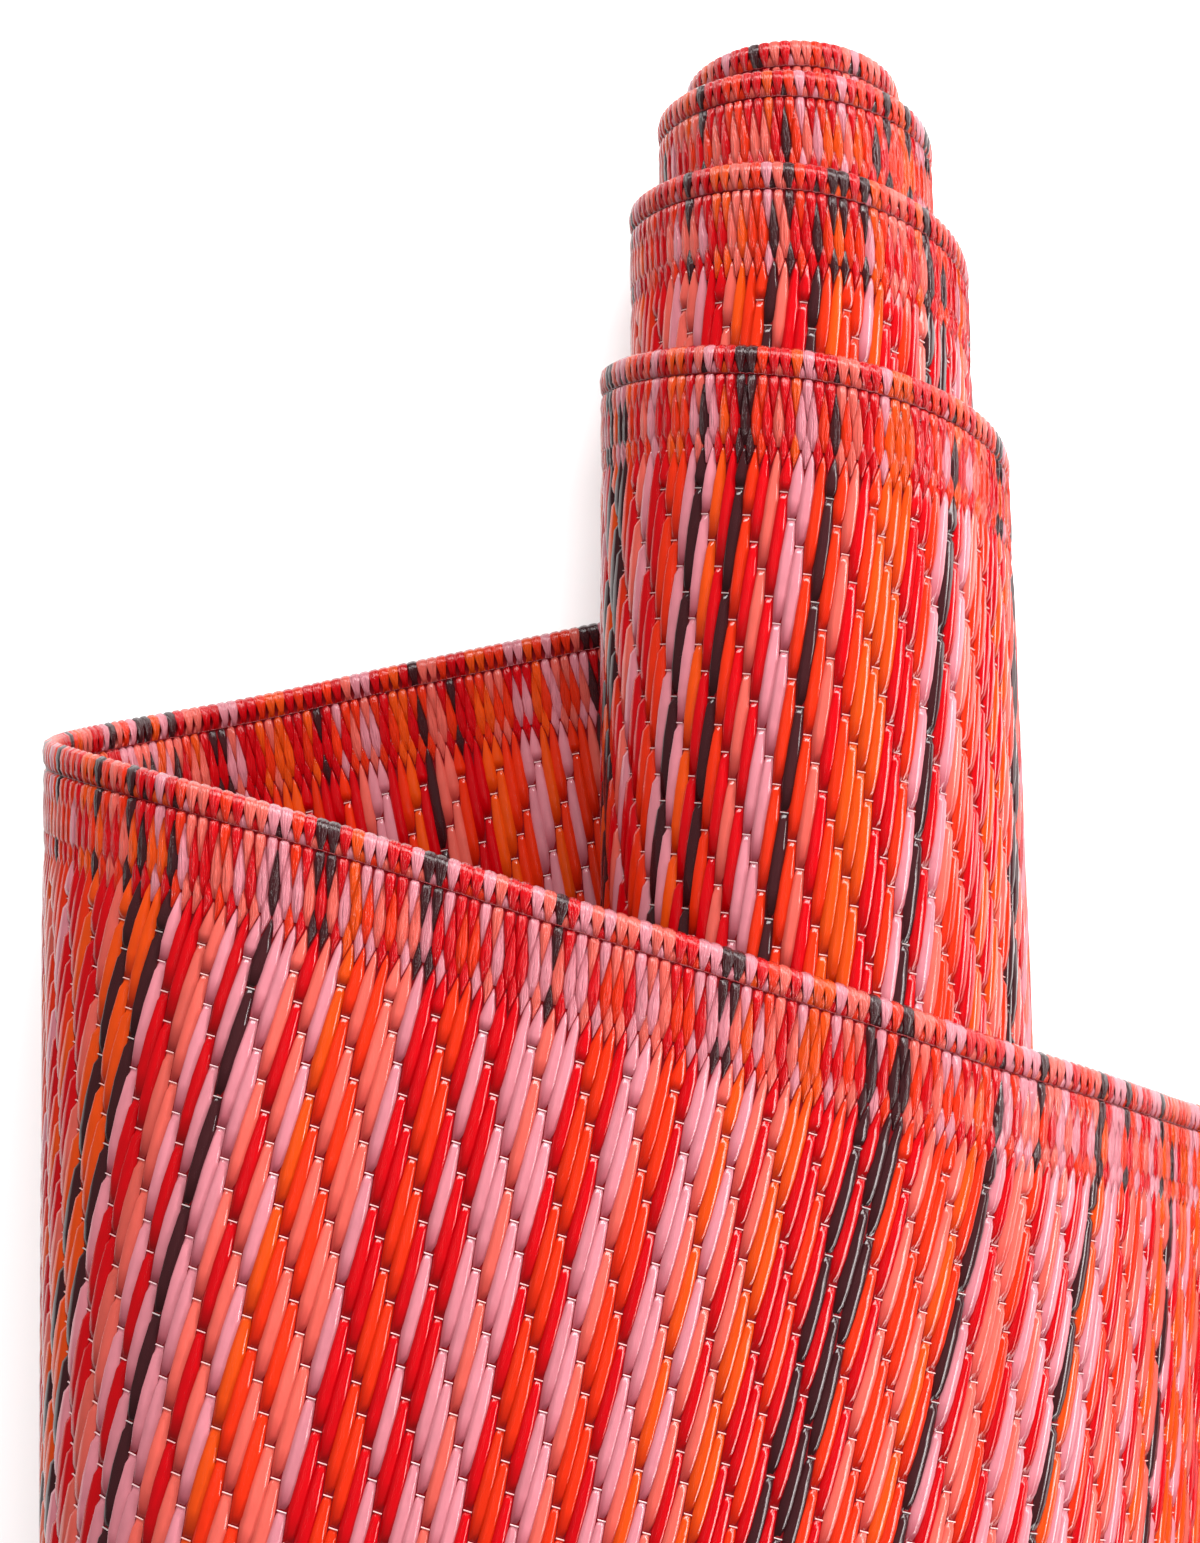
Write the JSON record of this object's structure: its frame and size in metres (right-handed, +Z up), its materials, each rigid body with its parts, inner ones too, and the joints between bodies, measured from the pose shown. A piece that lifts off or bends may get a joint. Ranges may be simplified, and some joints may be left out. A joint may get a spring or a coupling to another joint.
{
  "type": "rolled runner rug",
  "caption": "Woven plastic-straw runner rug lying partly rolled up, its loose end folded back over the roll, for floors indoors and outdoors.",
  "frame": {"origin": "on the floor, under the middle of the whole rug's bounding box", "axes": "+Z up, Y along the roll's axis with the telescoped end and the strip's upper long edge at +Y, +X towards the hem of the loose end"},
  "size_m": [0.6778, 1.0926, 0.1988],
  "materials": {
    "straw_cloth": "glossy woven straws"
  },
  "bodies": {
    "root": {"loose_end": "straw_cloth", "roll": "straw_cloth"}
  },
  "joints": []
}
